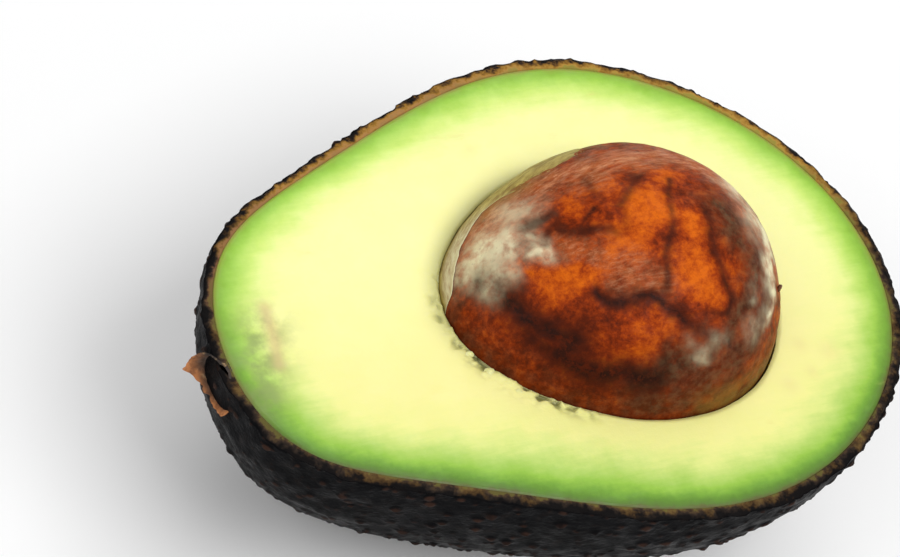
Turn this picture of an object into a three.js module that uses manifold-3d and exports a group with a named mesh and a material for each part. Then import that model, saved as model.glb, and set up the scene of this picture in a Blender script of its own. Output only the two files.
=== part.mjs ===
// Half of a ripe avocado, cut lengthwise, with its seed still sitting in the hollow.
//
// Units are millimetres. The cut face lies level and looks up (+Z), +X runs along the fruit from the
// stem end to the round end, and the origin is the middle of the small flat spot the half rests on.
// The fruit is worked out about its own centre, in the middle of the cut face, and moved at the end.

import * as THREE from "three";
import { mergeVertices } from "three/addons/utils/BufferGeometryUtils.js";
import Module from "manifold-3d";

// The flesh, from the stem end to the round end
const fleshLength = 94;
const fleshHalfWidth = 33.4; // from the centre line to the skin, at mid length
const fleshDepth = 35; // from the cut face down to the skin, at mid length
const bow = -1.8; // how far both ends swing to the side of the middle

// Pear shape, as shares of the radius at mid length: how the fruit tapers to the stem, how full its ends
// are, how marked its shoulder is and how square it is
const widthShape = [-0.102, 0.059, 0.075, 0.031];
const depthShape = [-0.073, 0.1];

// The skin
const skinThickness = 1.1;
const restFlatDepth = 0.5; // how deep the flat rest spot is pressed into the back

// The seed, an egg lying along the fruit and standing proud of the cut face
const seedHalfLength = 23.7;
const seedRadius = 20.2;
const seedEgg = 0.16; // how much its stem end is thinner than its round end
const seedForward = 6.3; // its middle, from the middle of the fruit
const seedAside = -0.9;
const seedSunk = 3.5; // its middle, below the cut face

// The seed's papery coat, torn down to one side of the rim
const coatThickness = 0.5;
const coatTop = 4; // above the cut face
const coatFoot = 6; // below the cut face
const coatStart = 95; // degrees about the seed, from +X towards +Y
const coatEnd = 178;

// The dried stem button on the stem end
const stemRadius = 3.2;
const stemLipRadius = 4;
const stemLength = 2.6;
const stemDish = 1.1; // how deep its outer face is hollowed
const stemSunk = 4.2; // its middle, below the cut face
const stemAside = -0.7;
const stemDroop = 12; // degrees its axis dips below level

const fitGap = 0.3; // clearance between pieces that touch on the real fruit

// Facets around and along each rounded body
const fruitFacets = [44, 32];
const seedFacets = [36, 24];
const stemFacets = 24;

const skinOffset = fitGap + skinThickness;
const wasm = await Module();
wasm.setup();

function solid(geometry) {
  const bare = geometry.clone();
  bare.deleteAttribute("normal");
  bare.deleteAttribute("uv");
  const merged = mergeVertices(bare);
  const vertProperties = merged.getAttribute("position").array;
  const triVerts = new Uint32Array(merged.index.array);
  return new wasm.Manifold(new wasm.Mesh({ numProp: 3, vertProperties, triVerts }));
}

// A closed body about the X axis. place gives the point for t, from 0 at the stem end to pi at the
// round end, and for the angle a about the axis.
function roundBody([around, along], place) {
  const sphere = new THREE.SphereGeometry(1, around, along);
  const points = sphere.getAttribute("position");
  const v = new THREE.Vector3();
  for (let i = 0; i < points.count; i++) {
    v.fromBufferAttribute(points, i);
    const t = Math.acos(THREE.MathUtils.clamp(-v.y, -1, 1));
    const a = Math.atan2(-v.z, v.x);
    points.setXYZ(i, ...place(t, a));
  }
  return solid(sphere);
}

// Radius of the flesh at t: an oval of radius middle, shaped by a few cosine terms that leave the
// radius at mid length as it is.
function shaped(middle, shape, t) {
  let sum = 1;
  shape.forEach((term, i) => {
    const k = i + 1;
    sum += term * (Math.cos(k * t) - Math.cos((k * Math.PI) / 2));
  });
  return middle * sum * Math.sin(t);
}

function alongFruit(t, offset) {
  return -(fleshLength / 2 + offset) * Math.cos(t);
}

function depthAt(t, offset) {
  return shaped(fleshDepth, depthShape, t) + offset * Math.sin(t);
}

function centreLine(x) {
  return bow * ((2 * x / fleshLength) ** 2 - 0.3);
}

// The whole fruit, grown by offset from the surface of the flesh
function fruit(offset) {
  return roundBody(fruitFacets, (t, a) => {
    const x = alongFruit(t, offset);
    const halfWidth = shaped(fleshHalfWidth, widthShape, t) + offset * Math.sin(t);
    return [x, halfWidth * Math.cos(a) + centreLine(x), depthAt(t, offset) * Math.sin(a)];
  });
}

function egg(offset) {
  return roundBody(seedFacets, (t, a) => {
    const radius = (seedRadius * (1 - seedEgg * Math.cos(t)) + offset) * Math.sin(t);
    return [
      seedForward - (seedHalfLength + offset) * Math.cos(t),
      seedAside + radius * Math.cos(a),
      -seedSunk + radius * Math.sin(a),
    ];
  });
}

function box(low, high) {
  const size = new THREE.Vector3().subVectors(high, low);
  const middle = new THREE.Vector3().addVectors(low, high).multiplyScalar(0.5);
  const geometry = new THREE.BoxGeometry(size.x, size.y, size.z);
  geometry.translate(middle.x, middle.y, middle.z);
  return solid(geometry);
}

// Everything above the cut face, and everything below the flat rest spot
const reach = fleshLength;
const aboveCut = box(new THREE.Vector3(-reach, -reach, 0), new THREE.Vector3(reach, reach, reach));

let restAngle = 0;
for (let t = 0; t < Math.PI; t += Math.PI / 360) {
  if (depthAt(t, skinOffset) > depthAt(restAngle, skinOffset)) restAngle = t;
}
const restForward = alongFruit(restAngle, skinOffset);
const restHeight = depthAt(restAngle, skinOffset) - restFlatDepth;
const belowRest = box(
  new THREE.Vector3(-reach, -reach, -reach),
  new THREE.Vector3(reach, reach, -restHeight),
);

// A wedge about the seed that spans the coat, grown by margin on every side
function coatWedge(margin) {
  const far = seedHalfLength * 2;
  const spread = margin / seedRadius;
  const from = THREE.MathUtils.degToRad(coatStart) - spread;
  const to = THREE.MathUtils.degToRad(coatEnd) + spread;
  const outline = new THREE.Shape();
  outline.moveTo(0, 0);
  outline.lineTo(far * Math.cos(from), far * Math.sin(from));
  outline.absarc(0, 0, far, from, to, false);
  outline.closePath();
  const depth = coatFoot + coatTop + 2 * margin;
  const wedge = new THREE.ExtrudeGeometry(outline, { depth, bevelEnabled: false, curveSegments: 8 });
  wedge.translate(seedForward, seedAside, -coatFoot - margin);
  return solid(wedge);
}

function makeSkin() {
  return fruit(skinOffset).subtract(fruit(fitGap)).subtract(aboveCut).subtract(belowRest);
}

function makeFlesh() {
  const coatRoom = egg(coatThickness + 2 * fitGap).intersect(coatWedge(fitGap));
  const hollow = egg(fitGap).add(coatRoom);
  return fruit(0).subtract(aboveCut).subtract(hollow);
}

function makeCoat() {
  return egg(fitGap + coatThickness).subtract(egg(fitGap)).intersect(coatWedge(0));
}

// A short dished button with a flared lip. Its profile runs from the foot, inside the fruit, to the
// middle of the dish, and the foot is cut back to the skin.
function makeStem() {
  const foot = -stemRadius;
  const profile = [
    [0, foot],
    [stemRadius, foot],
    [stemRadius, stemLength * 0.35],
    [stemLipRadius, stemLength * 0.85],
    [stemLipRadius, stemLength],
    [stemRadius, stemLength],
    [stemRadius * 0.6, stemLength - stemDish],
    [0, stemLength - stemDish],
  ];
  const points = profile.map(([radius, height]) => new THREE.Vector2(radius, height));
  const button = new THREE.LatheGeometry(points, stemFacets);
  button.rotateZ(Math.PI / 2 + THREE.MathUtils.degToRad(stemDroop));
  button.translate(-fleshLength / 2 - skinOffset, centreLine(-fleshLength / 2) + stemAside, -stemSunk);
  return solid(button).subtract(fruit(skinOffset + fitGap)).subtract(aboveCut);
}

function piece(name, body, color, roughness) {
  const { vertProperties, triVerts } = body.getMesh();
  const flat = new THREE.BufferGeometry();
  flat.setAttribute("position", new THREE.BufferAttribute(new Float32Array(vertProperties), 3));
  flat.setIndex(new THREE.BufferAttribute(new Uint32Array(triVerts), 1));
  const geometry = flat.toNonIndexed();
  geometry.computeVertexNormals();
  const material = new THREE.MeshStandardMaterial({ color, roughness, metalness: 0 });
  const mesh = new THREE.Mesh(geometry, material);
  mesh.name = name;
  return mesh;
}

const avocadoHalf = new THREE.Group();
avocadoHalf.add(piece("skin", makeSkin(), 0x1e2022, 0.5));
avocadoHalf.add(piece("flesh", makeFlesh(), 0xf6f7a0, 0.35));
avocadoHalf.add(piece("seed", egg(0), 0x9c4012, 0.4));
avocadoHalf.add(piece("seed_coat", makeCoat(), 0xa58a4c, 0.6));
avocadoHalf.add(piece("stem", makeStem(), 0x6b4426, 0.8));
avocadoHalf.position.set(-restForward, -centreLine(restForward), restHeight);

export default avocadoHalf;
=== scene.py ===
"""Looks of a cut avocado half: pebbled skin, moist flesh, mottled seed, torn coat and dried stem button.

Everything is in metres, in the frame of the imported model: the cut face is level and looks up, and +X runs
from the stem end to the round end. Each piece is a surface worked out with numpy from a few sizes.
"""

import itertools
import math

import bpy
import numpy as np
from bpy.props import FloatProperty, FloatVectorProperty, PointerProperty
from mathutils import Matrix, Vector


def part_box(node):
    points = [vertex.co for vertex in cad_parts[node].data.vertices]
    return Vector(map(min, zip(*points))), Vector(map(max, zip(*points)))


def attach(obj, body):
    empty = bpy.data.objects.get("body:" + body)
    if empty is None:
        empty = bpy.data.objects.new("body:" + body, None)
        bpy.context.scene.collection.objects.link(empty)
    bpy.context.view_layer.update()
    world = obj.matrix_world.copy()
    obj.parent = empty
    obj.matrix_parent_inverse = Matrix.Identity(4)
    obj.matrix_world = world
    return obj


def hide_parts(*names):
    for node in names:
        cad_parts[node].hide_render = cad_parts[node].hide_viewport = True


bl_info = {
    "name": "Avocado half",
    "version": (1, 0, 0),
    "blender": (4, 5, 0),
    "location": "3D View > Sidebar > Avocado",
    "description": "Builds the visible surfaces and materials of a cut avocado half",
    "category": "Add Mesh",
}

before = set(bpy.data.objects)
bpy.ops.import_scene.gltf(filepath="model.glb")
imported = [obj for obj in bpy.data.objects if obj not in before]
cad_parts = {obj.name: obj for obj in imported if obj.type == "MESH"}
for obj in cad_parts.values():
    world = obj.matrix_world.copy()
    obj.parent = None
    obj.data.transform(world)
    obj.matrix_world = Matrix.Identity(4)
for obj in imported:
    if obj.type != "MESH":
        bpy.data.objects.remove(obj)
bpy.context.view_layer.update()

MM = 0.001
FLESH_LOW, FLESH_HIGH = (np.array(corner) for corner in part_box("flesh"))
SEED_LOW, SEED_HIGH = (np.array(corner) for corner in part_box("seed"))
SEED_CENTRE = (SEED_LOW + SEED_HIGH) / 2
CUT_HEIGHT = FLESH_HIGH[2]
SEED_ASIDE = -0.9 * MM
FRUIT_CENTRE = np.array([(FLESH_LOW[0] + FLESH_HIGH[0]) / 2, SEED_CENTRE[1] - SEED_ASIDE, CUT_HEIGHT])

# Pear shape: cosine terms of the half-width and of the depth along the fruit, as shares of the middle
WIDTH_SHAPE = (-0.102, 0.059, 0.075, 0.031)
DEPTH_SHAPE = (-0.073, 0.1)
GROWN_TOGETHER = 0.05 * MM  # what the visible surfaces leave between pieces that grew as one


# ---------------------------------------------------------------- sizes and colours


def size(name, description, default):
    """A length property."""
    return FloatProperty(name=name, description=description, default=default, unit="LENGTH", precision=5)


def share(name, description, default):
    """A property from 0 to 1."""
    return FloatProperty(name=name, description=description, default=default, min=0.0, max=1.0)


def angle(name, description, degrees):
    """An angle property; the default is given in degrees."""
    default = math.radians(degrees)
    return FloatProperty(name=name, description=description, default=default, unit="ROTATION")


def colour(name, description, red, green, blue):
    """A colour property; the default is given as the eye sees it, 0 to 255, and is stored linear."""
    default = tuple(linear(value) for value in (red, green, blue))
    return FloatVectorProperty(name=name, description=description, default=default, subtype="COLOR", size=3)


def linear(value):
    """One colour channel from the eye's scale of 0 to 255 to linear light."""
    value = value / 255
    return value / 12.92 if value <= 0.04045 else ((value + 0.055) / 1.055) ** 2.4


def rgb(red, green, blue):
    """A linear RGBA colour from one given as the eye sees it, 0 to 255."""
    return (linear(red), linear(green), linear(blue), 1.0)


class AvocadoSizes(bpy.types.PropertyGroup):
    flesh_length: size("Flesh length", "Stem end to round end", float(FLESH_HIGH[0] - FLESH_LOW[0]))
    half_width: size("Flesh half width", "Centre line to skin at mid length", 33.4 * MM)
    depth: size("Flesh depth", "Cut face to skin at mid length", 35 * MM)
    bow: size("Bow", "How far both ends swing to the side of the middle", -1.8 * MM)
    skin_thickness: size("Skin thickness", "Flesh to the outer surface of the skin", 1.4 * MM)
    pebble_spacing: size("Pebble spacing", "Between the pebbles of the skin", 2.0 * MM)
    pebble_height: size("Pebble height", "How far a large pebble stands out", 0.6 * MM)
    seed_egg: share("Seed egg shape", "How much the seed's stem end is thinner than its middle", 0.16)
    hollow_gap: size("Hollow gap", "Between the seed and its hollow", 0.22 * MM)
    rim_rounding: size("Hollow rim rounding", "How far the hollow's edge is rounded back", 0.8 * MM)
    coat_thickness: size("Coat thickness", "Of the papery seed coat", 0.16 * MM)


class AvocadoColours(bpy.types.PropertyGroup):
    flesh_pale: colour("Pale flesh", "Middle of the cut face", 253, 250, 172)
    flesh_green: colour("Green flesh", "Flesh just under the skin", 140, 186, 50)
    skin_dark: colour("Dark skin", "Outside of the skin", 13, 13, 15)
    pebble_brown: colour("Pebble tips", "Reddish tips of the pebbles", 62, 43, 35)
    section_tan: colour("Skin section", "Inner layer of the cut skin", 178, 140, 66)
    seed_orange: colour("Seed orange", "Lightest ground of the seed", 214, 100, 8)
    seed_rust: colour("Seed rust", "Darker ground of the seed", 150, 52, 2)
    seed_vein: colour("Seed veins", "Veins and dark bands of the seed", 40, 14, 6)
    coat_olive: colour("Coat", "Papery coat", 188, 166, 76)
    bark: colour("Bark", "Dark body of the stem button", 64, 50, 40)
    bark_edge: colour("Torn bark", "Torn edge of the stem button", 196, 126, 72)


class AvocadoStage(bpy.types.PropertyGroup):
    azimuth: angle("Azimuth", "Turn of the camera about the vertical", -43.8)
    elevation: angle("Elevation", "Camera above the horizon", 49.9)
    roll: angle("Roll", "Turn of the picture about the line of sight", 26.87)
    distance: size("Distance", "Camera to the point it looks at", 313.8 * MM)
    aim_forward: size("Aim forward", "Point looked at, from the middle of the cut face", -14.5 * MM)
    aim_aside: size("Aim aside", "Point looked at, to the side of the centre line", 4.4 * MM)


# ---------------------------------------------------------------- numbers


def lattice(cell, salt):
    """Pseudo-random values in [0, 1) for whole-number cells: the indices are mixed by odd products, which
    may wrap round, and by shifts."""
    with np.errstate(over="ignore"):
        mixed = cell[..., 0] * 73856093 ^ cell[..., 1] * 19349663 ^ cell[..., 2] * 83492791
        mixed = mixed ^ salt * 2654435761
        mixed = (mixed ^ (mixed >> 13)) * 1274126177
        mixed = mixed ^ (mixed >> 16)
    return (mixed & 0xFFFFFF) / float(0x1000000)


def value_noise(points, spacing, salt):
    """Smooth noise from -1 to 1: the eight lattice values about each point, blended by smoothstep
    weights."""
    scaled = points / spacing
    cell = np.floor(scaled).astype(np.int64)
    part = scaled - cell
    part = part * part * (3 - 2 * part)
    total = 0
    for corner in itertools.product((0, 1), repeat=3):
        weights = np.where(corner, part, 1 - part).prod(axis=-1)
        total = total + weights * lattice(cell + np.array(corner), salt)
    return 2 * total - 1


def fractal(points, spacing, octaves, salt):
    """Value noise summed over octaves, each half the size and half the strength of the last."""
    total = 0
    for octave in range(octaves):
        total = total + value_noise(points, spacing / 2**octave, salt + octave) / 2**octave
    return total


def pebble_field(points, spacing, salt):
    """Domes on a jittered lattice: each cell holds one dome of random place, radius and height, and the
    tallest dome wins at each point. Returns heights from 0 to 1."""
    scaled = points / spacing
    cell = np.floor(scaled).astype(np.int64)
    height = np.zeros(points.shape[:-1])
    for step in itertools.product((-1, 0, 1), repeat=3):
        near = cell + np.array(step)
        jitter = np.stack([lattice(near, salt + k) for k in range(3)], axis=-1)
        radius = 0.2 + 0.18 * lattice(near, salt + 3)
        away = np.linalg.norm(scaled - near - 0.15 - 0.7 * jitter, axis=-1) / radius
        dome = np.clip(1 - away**2, 0, None) * (0.35 + 0.65 * lattice(near, salt + 4))
        height = np.maximum(height, dome)
    return height


def ease(low, high, value):
    """0 below low, 1 above high, and a smooth step between."""
    part = np.clip((value - low) / (high - low), 0, 1)
    return part * part * (3 - 2 * part)


def bell(value, width):
    """1 at zero, falling off smoothly on both sides: e to the minus square of value over width."""
    return np.exp(-((value / width) ** 2))


def spot(points, centre, radius):
    """A soft round spot: 1 at the centre and falling off as a bell of that radius."""
    return bell(np.linalg.norm(points - centre, axis=-1), radius)


def path_distance(points, path):
    """Distance from every point to the nearest of the straight stretches between the path's points."""
    nearest = np.full(points.shape[:-1], np.inf)
    for start, end in zip(path[:-1], path[1:]):
        run = end - start
        along = np.clip(((points - start) @ run) / (run @ run), 0, 1)
        nearest = np.minimum(nearest, np.linalg.norm(points - start - along[..., None] * run, axis=-1))
    return nearest


# ---------------------------------------------------------------- the fruit's and the seed's ground shapes


def middle_radius(middle, shape, forward):
    """Radius of the fruit where the unit sphere's X is forward: the middle radius times one plus a cosine
    term for each entry of shape, each term zero at mid length."""
    turn = np.arccos(np.clip(-forward, -1, 1))
    total = 1
    for k, term in enumerate(shape, 1):
        total = total + term * (np.cos(k * turn) - math.cos(k * math.pi / 2))
    return middle * total


def centre_line(sizes, forward):
    """How far to the side the middle of the fruit lies: a parabola along it."""
    return sizes.bow * (forward**2 - 0.3)


def fruit_points(sizes, direction, grow):
    """Points of the fruit's surface, grown by grow: the unit sphere stretched to the fruit's half length
    along X, and along Y and Z to the radius that the pear shape has there, about the bowed centre line."""
    forward = direction[..., 0]
    wide = middle_radius(sizes.half_width, WIDTH_SHAPE, forward) + grow
    deep = middle_radius(sizes.depth, DEPTH_SHAPE, forward) + grow
    x = (sizes.flesh_length / 2 + grow) * forward
    y = wide * direction[..., 1] + centre_line(sizes, x / (sizes.flesh_length / 2))
    z = deep * direction[..., 2]
    return FRUIT_CENTRE + np.stack([x, y, z], axis=-1)


def fruit_normals(sizes, direction):
    """Outward directions on the fruit: the unit sphere's point divided by the three radii, made unit
    long."""
    forward = direction[..., 0]
    wide = middle_radius(sizes.half_width, WIDTH_SHAPE, forward)
    deep = middle_radius(sizes.depth, DEPTH_SHAPE, forward)
    normal = np.stack(
        [forward / (sizes.flesh_length / 2), direction[..., 1] / wide, direction[..., 2] / deep], axis=-1
    )
    return normal / np.linalg.norm(normal, axis=-1, keepdims=True)


def seed_radii(sizes):
    """Half length of the seed and its radius at mid length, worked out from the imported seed's box: an egg
    r(u) = R (1 + e u) sqrt(1 - u^2) is widest at the u where e (1 - 2 u^2) = u."""
    half_length = (SEED_HIGH[0] - SEED_LOW[0]) / 2
    egg = sizes.seed_egg
    widest = (-1 + math.sqrt(1 + 8 * egg**2)) / (4 * egg)
    at_widest = (1 + egg * widest) * math.sqrt(1 - widest**2)
    return half_length, (SEED_HIGH[1] - SEED_LOW[1]) / 2 / at_widest


def egg_points(sizes, direction, grow):
    """Points of the seed's egg, grown by grow: the unit sphere stretched to the half length along X and to
    a radius across that gets larger towards the round end."""
    half_length, radius = seed_radii(sizes)
    forward = direction[..., 0]
    across = radius * (1 + sizes.seed_egg * forward) + grow
    x = (half_length + grow) * forward
    return SEED_CENTRE + np.stack([x, across * direction[..., 1], across * direction[..., 2]], axis=-1)


def leaning(lean, turns):
    """Unit vectors that lean from straight down by one angle, at a turn about the vertical."""
    lean, turns = np.broadcast_arrays(lean, turns)
    return np.stack([np.sin(lean) * np.cos(turns), np.sin(lean) * np.sin(turns), -np.cos(lean)], axis=-1)


def downward(angles, turns):
    """Unit vectors at the given angles from straight down (rows) and turns about the vertical (columns)."""
    return leaning(angles[:, None], turns[None, :])


def even_turns(count):
    """Turns about an axis, evenly spaced, without the last one that would repeat the first."""
    return np.arange(count) * (2 * math.pi / count)


# ---------------------------------------------------------------- meshes


def ring_mesh(name, rings, start, end, maps):
    """Closed mesh from rings of points (rows by columns by 3), joined one to the next and closed by a
    point at each end. maps gives UV islands, each a run of rings that starts on the last ring of the one
    before it, with the first column repeated last, and then the places of the two ends' middle points.
    Faces are turned to look outwards by the sign of the enclosed volume."""
    rows, columns = rings.shape[:2]
    points = np.concatenate([rings.reshape(-1, 3), start[None], end[None]])
    row, column = np.meshgrid(np.arange(rows - 1), np.arange(columns), indexing="ij")
    row, column = row.ravel(), column.ravel()
    following = (column + 1) % columns
    quads = np.stack(
        [row * columns + column, row * columns + following, (row + 1) * columns + following,
         (row + 1) * columns + column], axis=1,
    )
    along = np.arange(columns)
    beyond = (along + 1) % columns
    first, last = rows * columns, rows * columns + 1
    start_fan = np.stack([np.full(columns, first), beyond, along], axis=1)
    top = (rows - 1) * columns
    end_fan = np.stack([np.full(columns, last), top + along, top + beyond], axis=1)

    islands, start_place, end_place = maps
    near = np.concatenate([island[:-1] for island in islands])
    far = np.concatenate([island[1:] for island in islands])
    quad_uv = np.stack(
        [near[row, column], near[row, column + 1], far[row, column + 1], far[row, column]], axis=1
    )
    start_mid = np.broadcast_to(start_place, (columns, 2)) if start_place.ndim == 1 else start_place
    end_mid = np.broadcast_to(end_place, (columns, 2)) if end_place.ndim == 1 else end_place
    start_uv = np.stack([start_mid, near[0, along + 1], near[0, along]], axis=1)
    end_uv = np.stack([end_mid, far[-1, along], far[-1, along + 1]], axis=1)

    inner = points.mean(axis=0)
    corners = points[quads] - inner
    volume = np.einsum("ij,ij->", corners[:, 0], np.cross(corners[:, 1], corners[:, 2]))
    volume += np.einsum("ij,ij->", corners[:, 0], np.cross(corners[:, 2], corners[:, 3]))
    if volume < 0:
        quads, start_fan, end_fan = quads[:, ::-1], start_fan[:, ::-1], end_fan[:, ::-1]
        quad_uv, start_uv, end_uv = quad_uv[:, ::-1], start_uv[:, ::-1], end_uv[:, ::-1]

    mesh = bpy.data.meshes.new(name)
    faces = quads.tolist() + start_fan.tolist() + end_fan.tolist()
    mesh.from_pydata(points.tolist(), [], faces)
    uv = np.concatenate([quad_uv.reshape(-1, 2), start_uv.reshape(-1, 2), end_uv.reshape(-1, 2)])
    layer = mesh.uv_layers.new(name="OFBake")
    layer.data.foreach_set("uv", uv.astype(np.float32).ravel())
    mesh.polygons.foreach_set("use_smooth", np.ones(len(mesh.polygons), dtype=bool))
    mesh.update()
    piece = bpy.data.objects.new(name, mesh)
    bpy.context.scene.collection.objects.link(piece)
    return piece


def strip_map(rows, columns, low, high):
    """UV places that lay the rings out as a full-width band, from low to high along V."""
    u = np.linspace(0.0, 1.0, columns + 1)
    v = np.linspace(low, high, rows)
    return np.stack(np.meshgrid(u, v, indexing="xy"), axis=-1)


def fan_places(columns, v):
    """UV places for the middle point of each triangle of an end fan, spread along U."""
    u = (np.arange(columns) + 0.5) / columns
    return np.stack([u, np.full(columns, v)], axis=-1)


def tube_maps(rows, columns):
    """One band for all the rings, with a narrow edge left for the two end fans."""
    return [strip_map(rows, columns, 0.01, 0.99)], fan_places(columns, 0.0), fan_places(columns, 1.0)


def mark(piece, name, values, at_start, at_end):
    """Gives every point of a ring mesh a number that the materials read."""
    attribute = piece.data.attributes.new(name, "FLOAT", "POINT")
    numbers = np.concatenate([values.ravel(), [at_start, at_end]]).astype(np.float32)
    attribute.data.foreach_set("value", numbers)


def settle(piece, node):
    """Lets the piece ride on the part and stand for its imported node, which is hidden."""
    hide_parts(node)
    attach(piece, "root")


# ---------------------------------------------------------------- node helpers


def feed(tree, socket, value):
    """Links an input to another node's output, or sets its own value."""
    if isinstance(value, bpy.types.NodeSocket):
        tree.links.new(value, socket)
    else:
        socket.default_value = value


def node(tree, kind, inputs=None, **settings):
    """Adds a node, makes its settings and then fills its inputs."""
    made = tree.nodes.new(kind)
    for name, value in settings.items():
        setattr(made, name, value)
    for name, value in (inputs or {}).items():
        feed(tree, made.inputs[name], value)
    return made


def math_node(tree, operation, first, second, clamp=False):
    made = node(tree, "ShaderNodeMath", {0: first, 1: second}, operation=operation, use_clamp=clamp)
    return made.outputs[0]


def plus(tree, first, second):
    return math_node(tree, "ADD", first, second)


def times(tree, first, second):
    return math_node(tree, "MULTIPLY", first, second)


def centred(tree, mask):
    """A mask of 0 to 1 moved to -0.5 to 0.5, to push another value up and down."""
    return math_node(tree, "SUBTRACT", mask, 0.5)


def mix(tree, factor, first, second):
    """Blends two colours by factor: inputs 6 and 7 of the node are its colours, and output 2 their mix."""
    made = node(tree, "ShaderNodeMix", data_type="RGBA", clamp_factor=True)
    for place, value in ((0, factor), (6, first), (7, second)):
        feed(tree, made.inputs[place], value)
    return made.outputs[2]


def ramp(tree, factor, stops):
    """A colour ramp through stops of (place, colour)."""
    made = node(tree, "ShaderNodeValToRGB", {0: factor})
    elements = made.color_ramp.elements
    while len(elements) < len(stops):
        elements.new(0.5)
    for element, (place, shade) in zip(elements, stops):
        element.position = place
        element.color = shade
    return made.outputs[0]


def spread(tree, value, low, high, to_low=0.0, to_high=1.0):
    """Maps low..high smoothly to to_low..to_high."""
    inputs = {0: value, 1: low, 2: high, 3: to_low, 4: to_high}
    return node(tree, "ShaderNodeMapRange", inputs, interpolation_type="SMOOTHSTEP").outputs[0]


def read(tree, name):
    """A number that mark gave to the piece's points."""
    return node(tree, "ShaderNodeAttribute", attribute_name=name).outputs["Fac"]


def opaque(shade):
    """The colour of a property, as a node takes it."""
    return (*shade, 1.0)


def group(name, inputs, outputs, build):
    """A shader node group with named inputs, a vector where the default is None, and number outputs. It
    is built once and then shared."""
    if name in bpy.data.node_groups:
        return bpy.data.node_groups[name]
    tree = bpy.data.node_groups.new(name, "ShaderNodeTree")
    for label, default in inputs:
        kind = "NodeSocketVector" if default is None else "NodeSocketFloat"
        socket = tree.interface.new_socket(label, in_out="INPUT", socket_type=kind)
        if default is not None:
            socket.default_value = default
    for label in outputs:
        tree.interface.new_socket(label, in_out="OUTPUT", socket_type="NodeSocketFloat")
    entry = tree.nodes.new("NodeGroupInput")
    leave = tree.nodes.new("NodeGroupOutput")
    for label, value in build(tree, entry.outputs).items():
        tree.links.new(value, leave.inputs[label])
    return tree


def build_mottle(tree, given):
    """Cloudy patches: fractal noise of the given size, cut between low and high."""
    scale = math_node(tree, "DIVIDE", 1.0, given["Size"])
    noise = node(tree, "ShaderNodeTexNoise", {
        "Vector": given["Vector"], "Scale": scale, "Detail": 6.0,
        "Roughness": given["Roughness"], "Distortion": given["Distortion"],
    })
    inputs = {0: noise.outputs[0], 1: given["Low"], 2: given["High"]}
    cut = node(tree, "ShaderNodeMapRange", inputs, interpolation_type="SMOOTHSTEP")
    return {"Mask": cut.outputs[0]}


def build_grain(tree, given):
    """Fine relief: small soft cells plus finer noise, as a height from 0 to about 1."""
    scale = math_node(tree, "DIVIDE", 1.0, given["Size"])
    inputs = {"Vector": given["Vector"], "Scale": scale}
    cells = node(tree, "ShaderNodeTexVoronoi", inputs, feature="SMOOTH_F1")
    finer = times(tree, scale, 2.7)
    noise = node(tree, "ShaderNodeTexNoise", {"Vector": given["Vector"], "Scale": finer, "Detail": 4.0})
    total = plus(tree, cells.outputs["Distance"], noise.outputs[0])
    return {"Height": times(tree, total, 0.5)}


def mottle(tree, vector, patch, low, high, roughness=0.55, distortion=0.0):
    """Cloudy patches about as large as patch, from the Mottle group."""
    defaults = (
        ("Vector", None), ("Size", 0.01), ("Low", 0.4), ("High", 0.6),
        ("Roughness", 0.5), ("Distortion", 0.0),
    )
    values = (vector, patch, low, high, roughness, distortion)
    inputs = {label: value for (label, _), value in zip(defaults, values)}
    shared = group("Mottle", defaults, ("Mask",), build_mottle)
    return node(tree, "ShaderNodeGroup", inputs, node_tree=shared).outputs["Mask"]


def grain(tree, vector, cell):
    """Fine relief with cells about as large as cell, from the Grain group."""
    shared = group("Grain", (("Vector", None), ("Size", 0.001)), ("Height",), build_grain)
    inputs = {"Vector": vector, "Size": cell}
    return node(tree, "ShaderNodeGroup", inputs, node_tree=shared).outputs["Height"]


def start_material(name):
    """A material with its shader and the Object coordinates that its patterns read."""
    material = bpy.data.materials.new(name)
    material.use_nodes = True
    tree = material.node_tree
    shader = tree.nodes["Principled BSDF"]
    place = node(tree, "ShaderNodeTexCoord").outputs["Object"]
    return material, tree, shader, place


def stretch(tree, place, factors):
    """Object coordinates times three factors: a pattern is drawn out where its factor is small."""
    return node(tree, "ShaderNodeMapping", {"Vector": place, "Scale": factors}).outputs[0]


def relief(tree, shader, height, strength, distance):
    """Bumps the shader's normal by a height that changes over the surface."""
    bump = node(tree, "ShaderNodeBump", {"Height": height, "Strength": strength, "Distance": distance})
    tree.links.new(bump.outputs[0], shader.inputs["Normal"])


# ---------------------------------------------------------------- materials


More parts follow.
